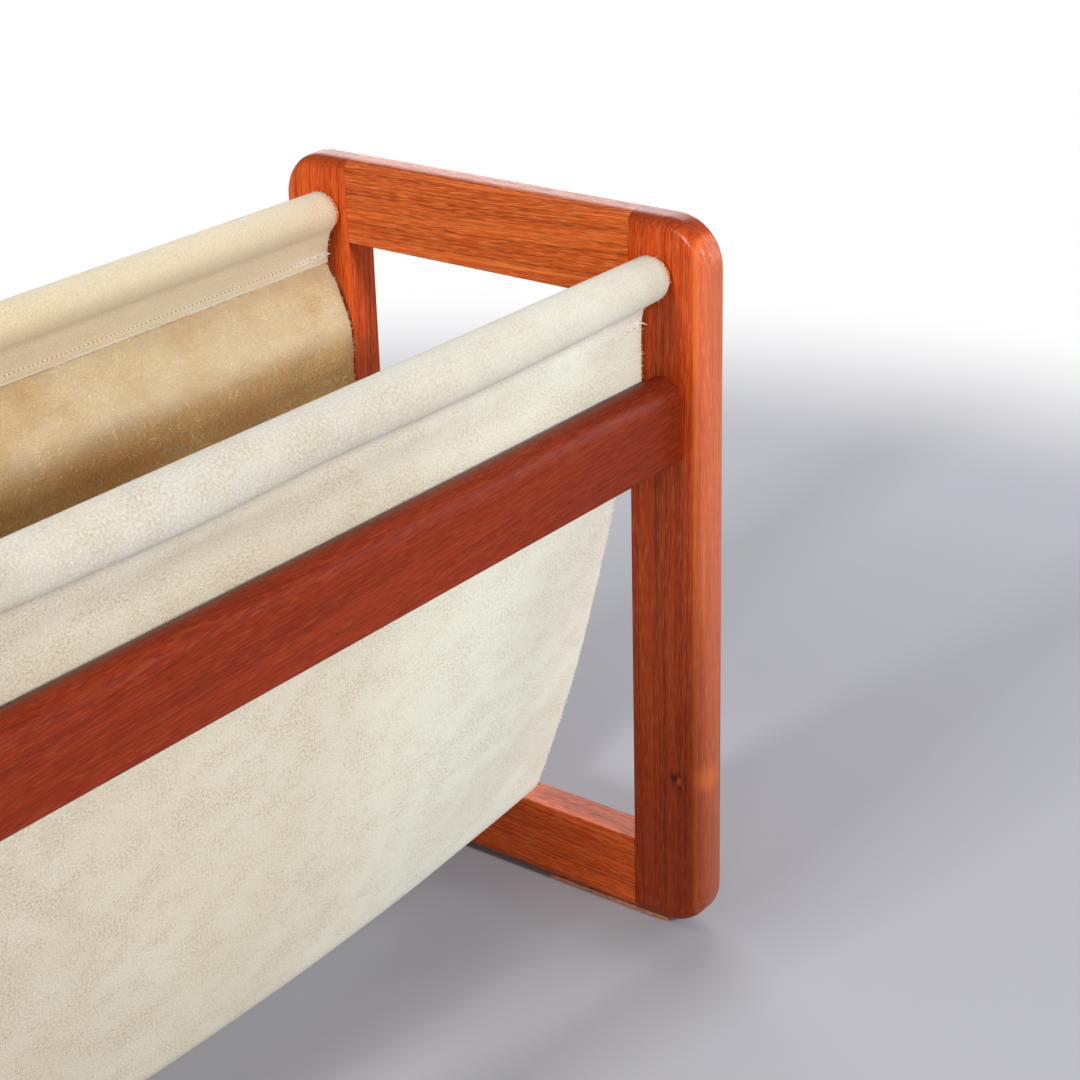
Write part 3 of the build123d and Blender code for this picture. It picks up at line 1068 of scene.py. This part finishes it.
@dataclass
class Sling:
    """The suede sling: one sheet, hemmed round both rods, that hangs between them as a rounded V."""

    flat_map = "flat_sheet"
    side_gap = 0.3
    end_sharpness = 40
    fray_row = 7
    fray_waves = 160

    suede: float = 0.0014
    hem_clearance: float = 0.0003
    layer_gap: float = 0.00015
    neck_lean: float = math.radians(7.8)
    neck_offset: float = 0.0036
    neck_front_radius: float = 0.012
    neck_pocket_radius: float = 0.006
    seam_drop: float = 0.0215
    flap_drop: float = 0.0255
    belly_radius: float = 0.029
    belly_lift_at_ends: float = 0.042
    belly_drop: float = 0.0135
    stitch_pitch: float = 0.0027
    # How far from the right cut end the painted light reaches, and how strongly it lies over the nap.
    end_painted_light: float = 0.20
    end_painted_light_on_nap: float = 0.22
    tanned_nap: float = 0.35
    raw_edge_line: float = 0.0013
    raw_edge_share: float = 0.6
    hem_tan: float = 0.12
    hem_reach: float = 0.080
    hem_fade: float = 0.014
    # Where the painted shade of the pocket's depths begins, how soft its border is, and how strongly the
    # painted light covers the upper pocket.
    painted_shade_from: float = 0.129
    painted_shade_fade: float = 0.012
    painted_light_share: float = 0.92
    stations: int = 92
    flap_parts: int = 5
    neck_parts: int = 4
    wander: float = 0.0007
    wander_waves: float = 17.0
    end_wave: float = 0.0007
    hem_pull: float = 0.0012
    creases: tuple[Crease, ...] = (
        Crease(Side.FRONT, height=0.3234, spread=0.0078, outward=0.0051, at_ends=0.0, outer_layer_only=True),
        Crease(
            Side.FRONT, height=0.3140, spread=0.0065, outward=0.0030, unevenness=0.6, waves=12.0, at_ends=0.0
        ),
        Crease(Side.FRONT, height=0.2820, spread=0.0140, outward=0.0036, unevenness=0.1, drift=0.0),
        Crease(Side.BACK, height=0.312, spread=0.0075, outward=0.0063, unevenness=0.1, drift=0.0),
        Crease(Side.BACK, height=0.280, spread=0.0080, outward=-0.0022),
        Crease(
            Side.BACK, height=0.266, spread=0.0070, outward=-0.0014, unevenness=1.6, drift=0.005, waves=24.0
        ),
        Crease(Side.BACK, height=0.246, spread=0.0130, outward=0.0032),
    )
    section: list[tuple[float, Vector]] = field(default_factory=list)

    def __post_init__(self) -> None:
        """Read the rod's place and the sling's length from the frame, and work out the neat section."""
        low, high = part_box("rod_front")
        self.rod_centre = Vector(((low.y + high.y) / 2, (low.z + high.z) / 2))
        self.rod_radius = (high.y - low.y) / 2
        low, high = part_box("sling")
        self.half_length = (high.x - low.x) / 2
        self.layer = (self.suede + self.layer_gap) / 2
        self.neck_height = self.neck_point(self.flap_drop, 0.0).y
        self.bends = self.front_bends()

    def neck_point(self, drop: float, towards_pocket: float) -> Vector:
        """A point below the front rod, along the neck of the hem.

        Args:
            drop: How far it is below the rod's middle, along the neck.
            towards_pocket: How far it is from the joint of the two layers, to the pocket's side.

        Returns:
            The point, as Y and Z.
        """
        down = Vector((math.sin(self.neck_lean), -math.cos(self.neck_lean)))
        across = Vector((math.cos(self.neck_lean), math.sin(self.neck_lean)))
        return self.rod_centre + across * (self.neck_offset + towards_pocket) + down * drop

    def front_bends(self) -> list[Bend]:
        """The bends of the front half, from the raw edge round the rod and down to the middle of the belly.

        Returns:
            The bends in order: pocket side of the neck, loop, front of the neck, flank and belly.
        """
        loop_radius = self.rod_radius + self.hem_clearance + self.suede / 2
        pocket_across = self.layer + self.neck_pocket_radius
        pocket_reach = self.neck_pocket_radius + loop_radius
        pocket_drop = math.sqrt(pocket_reach**2 - (pocket_across + self.neck_offset) ** 2)
        pocket_centre = self.neck_point(pocket_drop, pocket_across)
        front_across = self.layer + self.neck_front_radius
        front_reach = self.neck_front_radius + loop_radius
        front_drop = math.sqrt(front_reach**2 - (front_across - self.neck_offset) ** 2)
        front_centre = self.neck_point(front_drop, -front_across)

        loop_start = heading(self.rod_centre, pocket_centre)
        loop_end = heading(self.rod_centre, front_centre) + math.tau
        pocket_turn = math.pi + self.neck_lean
        front_turn = loop_end - math.pi

        sheet_neck = self.neck_point(self.flap_drop, -self.layer)
        belly_radius = self.belly_radius - self.suede / 2
        belly_centre = Vector((0.0, self.belly_lift_at_ends + self.belly_radius))
        slope = Vector((math.cos(self.neck_lean), math.sin(self.neck_lean)))
        reach = sheet_neck - belly_centre
        slack = reach.dot(slope) + belly_radius
        flank_radius = (belly_radius**2 - reach.length_squared) / (2 * slack)
        flank_centre = sheet_neck + slope * flank_radius
        flank_end = heading(flank_centre, belly_centre) % math.tau

        pocket_sweep = loop_start + math.pi - pocket_turn
        straight_down = 1.5 * math.pi
        return [
            Bend(pocket_centre, self.neck_pocket_radius, pocket_turn, pocket_sweep, parts=5),
            Bend(self.rod_centre, loop_radius, loop_start, loop_end - loop_start, parts=32),
            Bend(front_centre, self.neck_front_radius, front_turn, self.neck_lean - front_turn, parts=7),
            Bend(flank_centre, flank_radius, pocket_turn, flank_end - pocket_turn, parts=46),
            Bend(belly_centre, belly_radius, flank_end, straight_down - flank_end, parts=12),
        ]

    def settle(self, place: Vector) -> Vector:
        """Where a point of the neat sheet lies once the suede has sagged and creased.

        Args:
            place: The point on the neat sheet.

        Returns:
            The point on the worn sheet.
        """
        side = Side.FRONT if place.y < 0 else Side.BACK
        share = place.x / self.half_length
        belly_top = self.belly_lift_at_ends + self.belly_radius
        hang = smooth_share(place.z, self.neck_height, belly_top)
        lowered = self.belly_drop * (1 - share * share) * hang
        outward = 0.0
        for crease in (crease for crease in self.creases if crease.side is side):
            held = self.outer_share(place) if crease.outer_layer_only else 1.0
            outward += held * crease.lift(place.x, place.z, abs(share))
        spot = Vector((place.x, side.value * self.side_gap + place.y, place.z)) * self.wander_waves
        loose = smooth_share(place.z, self.rod_centre.y - self.rod_radius, self.neck_height)
        outward += self.wander * loose * noise.noise(spot)
        towards_middle = smooth_share(abs(place.y), 0.0, self.belly_radius)
        at_end = abs(share) ** self.end_sharpness
        fray = Vector((share * self.fray_row, place.y * self.fray_waves, place.z * self.fray_waves))
        ragged = self.end_wave * at_end * noise.noise(fray)
        ragged -= math.copysign(self.hem_pull, share) * at_end * (1 - loose)
        shift = Vector((ragged, side.value * outward * towards_middle, -lowered))
        return place + shift

    def outer_share(self, place: Vector) -> float:
        """How far a point of the neat hem belongs to its outer layer.

        Args:
            place: The point on the neat sheet.

        Returns:
            A share from 0 to 1.
        """
        across = Vector((math.cos(self.neck_lean), math.sin(self.neck_lean)))
        past_joint = (Vector((-abs(place.y), place.z)) - self.rod_centre).dot(across) - self.neck_offset
        return smooth_share(past_joint, self.layer, -self.layer)

    def run(self, mesh: Mesh, tip: Point, target: Vector, parts: int) -> Point:
        """Lengthen the section in a straight line.

        Args:
            mesh: The section.
            tip: Its last point.
            target: Where the line ends, as Y and Z.
            parts: How many parts the line has.

        Returns:
            The new last point.
        """
        step = (Vector((tip.co.x, target.x, target.y)) - tip.co) / parts
        for _ in range(parts):
            tip = bmesh.ops.extrude_vert_indiv(mesh, verts=[tip])["verts"][0]
            tip.co += step
        return tip

    def follow(self, mesh: Mesh, tip: Point, bend: Bend) -> Point:
        """Lengthen the section round a bend.

        Args:
            mesh: The section.
            tip: Its last point, at the bend's start.
            bend: The bend to follow.

        Returns:
            The new last point.
        """
        centre = (tip.co.x, bend.centre.x, bend.centre.y)
        along_x = (1, 0, 0)
        spun = bmesh.ops.spin(
            mesh, geom=[tip], cent=centre, axis=along_x, angle=bend.sweep, steps=bend.parts
        )
        return next(item for item in spun["geom_last"] if isinstance(item, Point))

    def half_section(self, mesh: Mesh) -> None:
        """Draw the front half of the neat section at the left cut end.

        Args:
            mesh: The mesh to draw in.
        """
        pocket, loop, front, flank, belly = self.bends
        raw_edge = self.neck_point(self.flap_drop, self.layer)
        tip = mesh.verts.new((-self.half_length, raw_edge.x, raw_edge.y))
        tip = self.run(mesh, tip, pocket.point(0.0), self.flap_parts)
        for bend in (pocket, loop, front):
            tip = self.follow(mesh, tip, bend)
        tip = self.run(mesh, tip, flank.point(0.0), self.neck_parts)
        for bend in (flank, belly):
            tip = self.follow(mesh, tip, bend)

    def walk(self, mesh: Mesh) -> Iterator[Point]:
        """The section's points from the front raw edge to the back one.

        Args:
            mesh: The whole section.

        Yields:
            Each point in turn.
        """
        tips = [vert for vert in mesh.verts if len(vert.link_edges) == 1]
        vert = min(tips, key=lambda tip: tip.co.y)
        edge = None
        while vert:
            yield vert
            onward = [link for link in vert.link_edges if link is not edge]
            edge = onward[0] if onward else None
            vert = edge.other_vert(vert) if edge else None

    def build(self) -> Piece:
        """Model the sheet from its neat section, and let it settle.

        Returns:
            The sling.
        """
        mesh = bmesh.new()
        along = mesh.verts.layers.float.new("along")
        self.half_section(mesh)
        bmesh.ops.mirror(mesh, geom=mesh.verts[:] + mesh.edges[:], axis="Y", merge_dist=self.layer_gap / 2)
        length = 0.0
        last = None
        for vert in self.walk(mesh):
            length += (vert.co - last).length if last else 0.0
            last = vert.co.copy()
            vert[along] = length
            self.section.append((length, Vector((vert.co.y, vert.co.z))))
        front_line = mesh.edges[:]
        for _ in range(self.stations):
            grown = bmesh.ops.extrude_edge_only(mesh, edges=front_line)["geom"]
            points = [item for item in grown if isinstance(item, Point)]
            front_line = [item for item in grown if isinstance(item, Line)]
            bmesh.ops.translate(mesh, verts=points, vec=(2 * self.half_length / self.stations, 0, 0))
        self.put_in_order(mesh)
        flat = mesh.loops.layers.uv.new(self.flat_map)
        for face in mesh.faces:
            for loop in face.loops:
                loop[flat].uv = (loop.vert.co.x + self.half_length, loop.vert[along])
        self.face_outwards(mesh)
        for vert in mesh.verts:
            vert.co = self.settle(vert.co)
        piece = new_piece("suede_sling", mesh, self.finishes())
        wall = piece.modifiers.new("suede_thickness", "SOLIDIFY")
        wall.thickness = self.suede
        wall.offset = 0.0
        wall.use_even_offset = True
        wall.material_offset = 1
        wall.material_offset_rim = 2
        crisp = piece.modifiers.new("crisp_cut_edges", "WEIGHTED_NORMAL")
        crisp.weight = 100
        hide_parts("sling")
        return piece

    def put_in_order(self, mesh: Mesh) -> None:
        """Sort the sheet's lines and faces by their points, so that their order is the same in each run.

        Args:
            mesh: The neat sheet.
        """
        mesh.verts.index_update()
        count = len(mesh.verts)

        def rank(item: Any) -> int:
            """The place of a line or face in the order, from its first and last points."""
            numbers = [vert.index for vert in item.verts]
            return min(numbers) * count + max(numbers)

        mesh.edges.sort(key=rank)
        mesh.faces.sort(key=rank)

    def finishes(self) -> list[Material]:
        """The suede's finishes: outside, pocket and cut edge.

        Returns:
            The three materials.
        """
        width = 2 * self.half_length
        # Painted light at the right cut end, then the tones of the hems and the paler raw edges.
        white = (width - self.end_painted_light, width - self.end_painted_light / 4, self.end_painted_light / 4)
        tan = (self.length - self.hem_tan, self.length - self.hem_tan / 2, self.hem_tan / 4)
        outside_tones_and_painted_light = [
            Stain(END_PAINTED_LIGHT, "X", *white),
            Stain(END_PAINTED_LIGHT, "X", *white, strength=self.end_painted_light_on_nap, over_nap=True),
            Stain(HEM_GREY, "Y", self.hem_reach, self.hem_reach - self.hem_fade),
            Stain(HEM_TAN, "Y", *tan),
            Stain(HEM_TAN, "Y", *tan, strength=self.tanned_nap, over_nap=True),
        ]
        # Painted light on the upper pocket walls near both hems; the depths keep the darker ground as painted
        # shade.
        worn = []
        for raw_edge, onward in ((0.0, 1.0), (self.length, -1.0)):
            line = onward * self.raw_edge_line
            pale = (raw_edge + line, raw_edge + line / 3, line / 3)
            outside_tones_and_painted_light.append(Stain(RAW_EDGE, "Y", *pale, strength=self.raw_edge_share, over_nap=True))
            begins = raw_edge + onward * self.painted_shade_from
            peach = (begins, begins - onward * self.painted_shade_fade, -onward * self.painted_shade_fade / 2)
            worn.append(Stain(POCKET_PAINTED_LIGHT, "Y", *peach, strength=self.painted_light_share, over_nap=True))
        to_raw_edge = self.flap_drop - self.seam_drop
        holes = SeamHoles((to_raw_edge, self.length - to_raw_edge), self.stitch_pitch, -self.half_length)
        outside = SUEDE_OUTSIDE.material(tuple(outside_tones_and_painted_light), holes)
        pocket = SUEDE_POCKET.material(tuple(worn))
        return [outside, pocket, SUEDE_CUT.material()]

    def face_outwards(self, mesh: Mesh) -> None:
        """Turn the sheet's faces so that they point away from the pocket.

        Args:
            mesh: The neat sheet.
        """
        bmesh.ops.recalc_face_normals(mesh, faces=mesh.faces[:])
        flank = [face for face in mesh.faces if self.is_front_flank(face.calc_center_median())]
        if flank[0].normal.y > 0:
            bmesh.ops.reverse_faces(mesh, faces=mesh.faces[:])

    def is_front_flank(self, place: Vector) -> bool:
        """Whether a place is on the front wall below the neck."""
        return place.y < -self.belly_radius and place.z < self.neck_height

    def at(self, along: float) -> tuple[Vector, Vector]:
        """A point of the neat section, by its distance from the front raw edge.

        Args:
            along: The distance, in metres.

        Returns:
            The point and the way onward, each as Y and Z.
        """
        number = bisect_left(self.section, along, lo=1, hi=len(self.section) - 1, key=lambda spot: spot[0])
        (first, start), (second, stop) = self.section[number - 1 : number + 1]
        share = (along - first) / (second - first)
        return start.lerp(stop, share), (stop - start).normalized()

    @property
    def length(self) -> float:
        """The sheet's developed length at its cut ends."""
        return self.section[-1][0]


class Strands:
    """Many thin curling strands, gathered and then made one mesh."""

    curl = 0.45
    taper = 0.7

    def __init__(self, radius: float, shuffle: random.Random, rounding: int = 0) -> None:
        """Start with no strands.

        Args:
            radius: Each strand's full radius.
            shuffle: The source of their curl.
            rounding: How many times the strands' four sides are divided.
        """
        self.shuffle = shuffle
        self.curves = bpy.data.curves.new("strands", "CURVE")
        self.curves.dimensions = "3D"
        self.curves.bevel_depth = radius
        self.curves.bevel_resolution = rounding

    def lay(self, points: list[Vector], widths: list[float]) -> None:
        """Lay one strand along points.

        Args:
            points: The points that it follows.
            widths: Its width at each point, as a share of the full one.
        """
        spline = self.curves.splines.new("POLY")
        spline.points.add(len(points) - 1)
        for spot, point, width in zip(spline.points, points, widths):
            spot.co = (*point, 1.0)
            spot.radius = width

    def grow(self, root: Vector, way: Vector, length: float, parts: int) -> None:
        """Grow one strand that curls and thins towards its tip.

        Args:
            root: Where it starts.
            way: The way it sets out.
            length: Its whole length.
            parts: How many straight parts it has.
        """
        turn = Vector([self.shuffle.uniform(-1, 1) for _ in range(3)])
        points = [root]
        for _ in range(parts):
            way = (way.normalized() + turn * self.curl).normalized()
            points.append(points[-1] + way * (length / parts))
        self.lay(points, [1 - self.taper * number / parts for number in range(parts + 1)])

    def gather(self) -> Mesh:
        """All the strands as one mesh.

        Returns:
            The mesh.
        """
        holder = bpy.data.objects.new("strands", self.curves)
        data = bpy.data.meshes.new_from_object(holder)
        mesh = bmesh.new()
        mesh.from_mesh(data)
        bpy.data.meshes.remove(data)
        bpy.data.curves.remove(self.curves)
        return mesh


@dataclass
class HemStitching:
    """The lockstitch through one hem, with a back-tack and loose thread ends at both ends of the seam."""

    sling: Sling
    side: Side
    thread: float = 0.00068
    stitch_share: float = 0.62
    end_margin: float = 0.001
    pocket_sink: float = 0.0004
    outside_sink: float = 0.0008
    back_tack_in_pocket: float = 0.026
    back_tack_outside: float = 0.015
    back_tack_rows: tuple[float, ...] = (-0.0008, 0.0008)
    tail_lengths: tuple[float, ...] = (0.0028, 0.0018)
    slant: float = math.radians(7)
    back_tack_slant: float = math.radians(32)
    slant_spread: Pair = (0.5, 1.4)
    tail_parts: int = 5
    tail_drop: Pair = (-0.0006, 0.0010)
    tail_out: float = 0.4
    tail_off: Pair = (0.1, 0.5)
    tail_rise: Pair = (-1.0, 0.6)
    seed: int = 11
    arch: tuple[float, ...] = (0.0, 0.15, 0.5, 0.85, 1.0)
    arch_power: int = 4

    def build(self) -> Piece:
        """Sew the hem.

        Returns:
            The stitching.
        """
        strands = Strands(self.thread / 2, random.Random(self.side.value + self.seed), rounding=1)
        half = self.sling.half_length - self.end_margin
        pitch = self.sling.stitch_pitch
        count = 2 * int(half / pitch)
        for pocket_side in (True, False):
            tack = self.back_tack_in_pocket if pocket_side else self.back_tack_outside
            for number in range(count):
                x = (number + 0.5 - count / 2) * pitch
                self.stitch(strands, x, 0.0, pocket_side)
                in_tack = half - abs(x) < tack
                for lower in self.back_tack_rows if in_tack else ():
                    back = self.back_tack_slant * (1 if number % 2 else -1)
                    self.stitch(strands, x + pitch / 2, lower, pocket_side, back)
            for end in End:
                self.tails(strands, end.value * half, pocket_side)
        name = f"hem_stitching_{self.side.word}"
        piece = new_piece(name, strands.gather(), [THREAD.shared()])
        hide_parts(f"hem_thread_{self.side.word}")
        return piece

    def spot(self, x: float, lower: float, pocket_side: bool, sink: float) -> Vector:
        """A point on the seam line, on one face of the hem.

        Args:
            x: The place along the rack.
            lower: How far it is below the seam line.
            pocket_side: Whether it is on the pocket's face.
            sink: How deep it lies in the nap.

        Returns:
            The point on the worn sheet.
        """
        face = self.sling.suede + self.sling.layer_gap / 2 + self.thread / 2 - sink
        flat = self.sling.neck_point(self.sling.seam_drop + lower, face if pocket_side else -face)
        return self.sling.settle(Vector((x, -self.side.value * flat.x, flat.y)))

    def stitch(self, strands: Strands, x: float, lower: float, pocket_side: bool, back: float = 0.0) -> None:
        """Lay one stitch, from needle hole to needle hole.

        Args:
            strands: The thread so far.
            x: The stitch's middle along the rack.
            lower: How far it is below the seam line.
            pocket_side: Whether it is on the pocket's face.
            back: The slant of a back-tack's stitch, which stands on the nap.
        """
        sink = self.pocket_sink if pocket_side else self.outside_sink
        sink = 0.0 if back else sink
        slope = math.tan((back or self.slant) * strands.shuffle.uniform(*self.slant_spread))
        points = []
        for share in self.arch:
            offset = (share - 0.5) * self.sling.stitch_pitch * self.stitch_share
            depth = sink + self.thread * (2 * share - 1) ** self.arch_power
            points.append(self.spot(x + offset, lower + offset * slope, pocket_side, depth))
        strands.lay(points, [1.0] * len(points))

    def tails(self, strands: Strands, x: float, pocket_side: bool) -> None:
        """Leave the loose thread ends at one end of the seam.

        Args:
            strands: The thread ends so far.
            x: The end of the seam.
            pocket_side: Whether they are on the pocket's face.
        """
        shuffle = strands.shuffle
        away = self.side.value * (-1.0 if pocket_side else 1.0)
        for length in self.tail_lengths:
            start = self.spot(x, shuffle.uniform(*self.tail_drop), pocket_side, 0.0)
            off = away * shuffle.uniform(*self.tail_off)
            way = Vector((math.copysign(self.tail_out, x), off, shuffle.uniform(*self.tail_rise)))
            strands.grow(start, way, length, self.tail_parts)


@dataclass
class SuedeFuzz:
    """Loose fibres: fuzz on the cut ends and raw edges, and raised nap in the pocket."""

    sling: Sling
    fuzz_step: float = 0.0004
    fuzz_length: Pair = (0.0005, 0.0021)
    fuzz_radius: float = 0.00014
    nap_count: int = 15000
    nap_length: Pair = (0.0008, 0.0024)
    curl_count: int = 1600
    curl_length: Pair = (0.0030, 0.0055)
    nap_radius: float = 0.00019
    nap_start: float = 0.116
    fuzz_parts: int = 2
    nap_parts: int = 1
    curl_parts: int = 3
    end_spread: float = 0.7
    raw_edge_rise: Pair = (-0.1, 0.8)
    nap_rise: Pair = (0.05, 0.35)
    fuzz_seed: int = 5
    nap_seed: int = 8

    def build(self) -> list[Piece]:
        """Grow the fuzz and the nap, and return both pieces."""
        return [self.edge_fuzz(), self.pocket_nap()]

    def spot(self, x: float, along: float, lift: float) -> tuple[Vector, Vector, Vector]:
        """A point near the worn sheet, and its two ways.

        Args:
            x: The place along the rack.
            along: The distance from the front raw edge, along the sheet.
            lift: How far it is off the sheet's middle, outwards.

        Returns:
            The point, the way along the sheet and the way off it.
        """
        flat, onward = self.sling.at(along)
        off = Vector((0.0, onward.y, -onward.x))
        point = Vector((x, flat.x, flat.y)) + off * lift
        return self.sling.settle(point), Vector((0.0, onward.x, onward.y)), off

    def edge_fuzz(self) -> Piece:
        """Grow the fuzz on the cut ends and raw edges.

        Returns:
            The fuzz.
        """
        shuffle = random.Random(self.fuzz_seed)
        strands = Strands(self.fuzz_radius, shuffle)
        half = self.sling.half_length
        length = self.sling.length
        for end in End:
            for number in range(int(length / self.fuzz_step)):
                lift = shuffle.uniform(-0.5, 0.5) * self.sling.suede
                spread = (number + shuffle.random()) * self.fuzz_step
                root, onward, off = self.spot(end.value * half, min(spread, length), lift)
                way = Vector((end.value, 0, 0)) + onward * shuffle.uniform(-1, 1)
                way += off * shuffle.uniform(-self.end_spread, self.end_spread)
                strands.grow(root, way, shuffle.uniform(*self.fuzz_length), self.fuzz_parts)
        for raw, outward in ((0.0, -1.0), (length, 1.0)):
            for _ in range(int(2 * half / self.fuzz_step)):
                x = shuffle.uniform(-half, half)
                root, onward, off = self.spot(x, raw, shuffle.uniform(-0.5, 0.5) * self.sling.suede)
                way = onward * outward + Vector((shuffle.uniform(-1, 1), 0, 0))
                way += off * shuffle.uniform(*self.raw_edge_rise)
                strands.grow(root, way, shuffle.uniform(*self.fuzz_length), self.fuzz_parts)
        return new_piece("suede_edge_fuzz", strands.gather(), [LOOSE_FIBRE.material()])

    def pocket_nap(self) -> Piece:
        """Raise the nap on the pocket's walls.

        Returns:
            The nap.
        """
        shuffle = random.Random(self.nap_seed)
        strands = Strands(self.nap_radius, shuffle)
        reach = self.sling.half_length - self.curl_length[1]
        for number in range(self.nap_count + self.curl_count):
            curly = number >= self.nap_count
            x = shuffle.uniform(-reach, reach)
            along = shuffle.uniform(self.nap_start, self.sling.length - self.nap_start)
            root, onward, off = self.spot(x, along, -self.sling.suede / 2)
            turn = shuffle.uniform(0, math.tau)
            way = Vector((math.cos(turn), 0, 0)) + onward * math.sin(turn)
            way -= off * shuffle.uniform(*self.nap_rise)
            length = shuffle.uniform(*(self.curl_length if curly else self.nap_length))
            strands.grow(root, way, length, self.curl_parts if curly else self.nap_parts)
        return new_piece("suede_pocket_nap", strands.gather(), [NAP_FIBRE.material()])


@dataclass(frozen=True)
class Lamp:
    """A square studio lamp that points at the rack."""

    name: str
    place: Triple
    size: float
    power: float
    aim: Triple = (0.0, 0.0, 0.2)

    def build(self) -> None:
        """Hang the lamp."""
        data = bpy.data.lights.new(self.name, "AREA")
        data.shape = "SQUARE"
        data.size = self.size
        data.energy = self.power
        lamp = bpy.data.objects.new(self.name, data)
        way = Vector(self.aim) - Vector(self.place)
        lamp.visible_camera = False
        lamp.matrix_world = Matrix.Translation(self.place) @ way.to_track_quat("-Z", "Y").to_matrix().to_4x4()
        bpy.context.scene.collection.objects.link(lamp)
        LOG.info("hung lamp %s", self.name)


@dataclass
class Studio:
    """The floor, the white room, the lamps and the camera."""

    floor_colour: Colour = paint(166, 166, 173)
    floor_radius: float = 3.0
    floor_sides: int = 96
    floor_roughness: float = 0.9
    floor_shine: float = 0.1
    floor_clear_from: float = 0.80
    floor_clear_to: float = 1.15
    room_light: float = 0.29
    room_tint: Triple = (0.97, 0.985, 1.0)
    lamps: tuple[Lamp, ...] = (
        Lamp("key", place=(-2.2, 0.0, 1.23), size=0.3, power=47.0),
        Lamp("front_fill", place=(-0.10, -2.33, 1.28), size=0.3, power=45.0),
        Lamp("left_fill", place=(-2.2, -1.2, 1.05), size=0.35, power=7.0),
        Lamp("right_fill", place=(1.6, -0.9, 0.65), size=0.8, power=8.5),
        Lamp("bright_wall", place=(1.30, 0.85, 0.90), size=1.15, power=15.0),
    )
    camera_place: Triple = (-0.62356, -0.67577, 0.65949)
    camera_heading: float = math.radians(52.277)
    camera_pitch: float = math.radians(-23.915)
    camera_roll: float = math.radians(-1.613)
    lens: float = 80.05
    sensor: float = 36.0

    def build(self) -> None:
        """Set up the studio."""
        bpy.context.scene.view_settings.view_transform = "Standard"
        self.lay_floor()
        self.light_room()
        for lamp in self.lamps:
            lamp.build()
        self.set_camera()

    def lay_floor(self) -> None:
        """Lay a pale floor that clears into the white room."""
        mesh = bmesh.new()
        bmesh.ops.create_circle(mesh, cap_ends=True, segments=self.floor_sides, radius=self.floor_radius)
        data = bpy.data.meshes.new("floor")
        mesh.to_mesh(data)
        mesh.free()
        floor = bpy.data.objects.new("floor", data)
        bpy.context.scene.collection.objects.link(floor)
        material, graph, shader = new_material("floor")
        place = graph.add("ShaderNodeTexCoord").outputs["Object"]
        clear = graph.step(graph.distance(place), self.floor_clear_from, self.floor_clear_to)
        matt = {
            "Base Color": self.floor_colour,
            "Roughness": self.floor_roughness,
            "Specular IOR Level": self.floor_shine,
        }
        set_plain(shader, matt)
        solid = graph.sum_up("SUBTRACT", 1.0, clear)
        graph.tree.links.new(solid, shader.inputs["Alpha"])
        data.materials.append(material)
        floor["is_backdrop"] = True
        LOG.info("laid floor")

    def light_room(self) -> None:
        """Light the rack evenly from a room that the camera sees as white."""
        world = bpy.data.worlds.new("white_room")
        world.use_nodes = True
        bpy.context.scene.world = world
        graph = Graph(world.node_tree)
        graph.tree.nodes.clear()
        rays = graph.add("ShaderNodeLightPath").outputs
        dim = {"Color": (*self.room_tint, 1.0), "Strength": self.room_light}
        light = graph.add("ShaderNodeBackground", dim)
        white = graph.add("ShaderNodeBackground", {"Color": (1.0, 1.0, 1.0, 1.0), "Strength": 1.0})
        seen = {0: rays["Is Camera Ray"], 1: light.outputs[0], 2: white.outputs[0]}
        room = graph.add("ShaderNodeMixShader", seen)
        graph.add("ShaderNodeOutputWorld", {"Surface": room.outputs[0]})

    def set_camera(self) -> None:
        """Set the camera at the photograph's place."""
        data = bpy.data.cameras.new("camera")
        data.sensor_width = self.sensor
        data.lens = self.lens
        camera = bpy.data.objects.new("camera", data)
        level = math.cos(self.camera_pitch)
        way = Vector(
            (
                level * math.sin(self.camera_heading),
                level * math.cos(self.camera_heading),
                math.sin(self.camera_pitch),
            )
        )
        turn = way.to_track_quat("-Z", "Y").to_matrix().to_4x4() @ Matrix.Rotation(self.camera_roll, 4, "Z")
        camera.matrix_world = Matrix.Translation(self.camera_place) @ turn
        bpy.context.scene.collection.objects.link(camera)
        bpy.context.scene.camera = camera
        LOG.info("set camera")


def write_sizes() -> None:
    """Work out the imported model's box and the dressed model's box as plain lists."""
    boxes = {"cad": CAD_BOX, "visual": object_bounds()}
    plain = {name: [[float(value) for value in corner] for corner in box] for name, box in boxes.items()}


def main() -> None:
    """Dress the frame, build the sling and its sewing, and set up the studio."""
    logging.basicConfig(level=logging.INFO, format="%(message)s")
    for end in End:
        EndFrame(end).dress()
    for side in Side:
        LongPieces(side).dress()
    sling = Sling()
    sheet = sling.build()
    sewing = [HemStitching(sling, side).build() for side in Side]
    fuzz = SuedeFuzz(sling).build()
    Studio().build()
    write_sizes()


if __name__ == "__main__":
    main()
